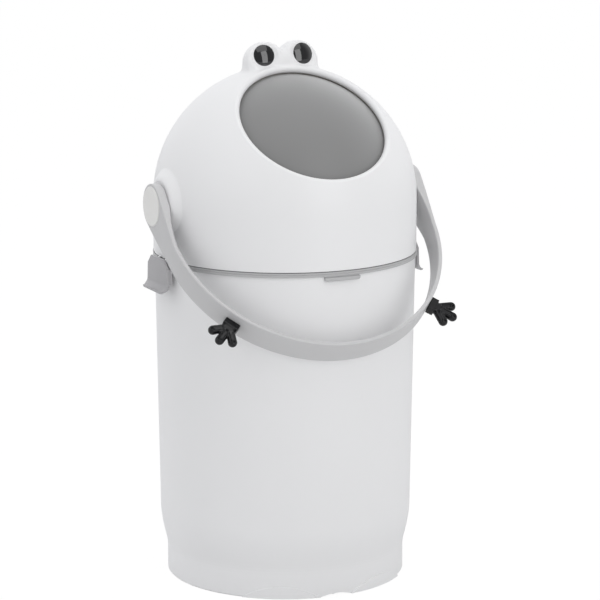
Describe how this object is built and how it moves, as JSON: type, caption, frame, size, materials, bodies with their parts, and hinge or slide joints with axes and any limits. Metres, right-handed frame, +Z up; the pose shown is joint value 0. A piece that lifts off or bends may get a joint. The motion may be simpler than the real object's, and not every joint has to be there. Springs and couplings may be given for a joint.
{
  "type": "nappy bin",
  "caption": "Tall round nappy bin with a domed head, a round mouth closed by an inner drum, a swinging bail handle that turns the drum, side latches and frog-like eyes and hands.",
  "frame": {"origin": "on the floor under the middle of the bucket, at rest", "axes": "+Z up; the front, with the mouth and the resting handle, faces -Y; the latch that the picture shows is at -X"},
  "size_m": [0.3088, 0.3025, 0.5707],
  "materials": {
    "white_shell": "fine satin",
    "white_cap": "fine satin",
    "grey_trim": "satin",
    "grey_drum": "smooth satin",
    "natural_plastic": "smooth",
    "black_gloss": "polished",
    "seal": "soft matt",
    "steel": "plain"
  },
  "bodies": {
    "bucket_body": {"bucket": "white_shell"},
    "ring_body": {"bag_ring": "grey_trim"},
    "head_body": {"head_shell": "white_shell", "eye_left": "black_gloss", "eye_right": "black_gloss", "mouth_seal": "seal", "drum_collar": "grey_drum", "lower_seal": "seal", "collar_screws": "steel", "bush_left": "natural_plastic", "bush_right": "natural_plastic", "latch_pins": "steel", "seam_seal": "seal"},
    "handle_body": {"handle_bow": "grey_trim", "hub_cap_left": "white_cap", "hub_cap_right": "white_cap", "hub_screws": "steel", "hand_left": "black_gloss", "hand_right": "black_gloss", "drum_shell": "grey_drum", "drum_cup": "grey_drum", "trunnion_left": "steel", "trunnion_right": "steel", "trunnion_screws": "steel"},
    "latch_left_body": {"latch_left": "grey_trim"},
    "latch_right_body": {"latch_right": "grey_trim"}
  },
  "joints": [
    {"name": "ring_lift", "type": "slide", "parent": "bucket_body", "child": "ring_body", "axis": [0, 0, 1], "range_m": [0, 0.2]},
    {"name": "head_lift", "type": "slide", "parent": "ring_body", "child": "head_body", "axis": [0, 0, 1], "range_m": [0, 0.2]},
    {"name": "handle_swing", "type": "hinge", "parent": "head_body", "child": "handle_body", "pos_m": [0, 0, 0.407], "axis": [-1, 0, 0], "range_deg": [0, 147]},
    {"name": "latch_left_open", "type": "hinge", "parent": "head_body", "child": "latch_left_body", "pos_m": [-0.1432, 0, 0.3488], "axis": [0, 1, 0], "range_deg": [0, 50]},
    {"name": "latch_right_open", "type": "hinge", "parent": "head_body", "child": "latch_right_body", "pos_m": [0.1432, 0, 0.3488], "axis": [0, -1, 0], "range_deg": [0, 50]}
  ]
}
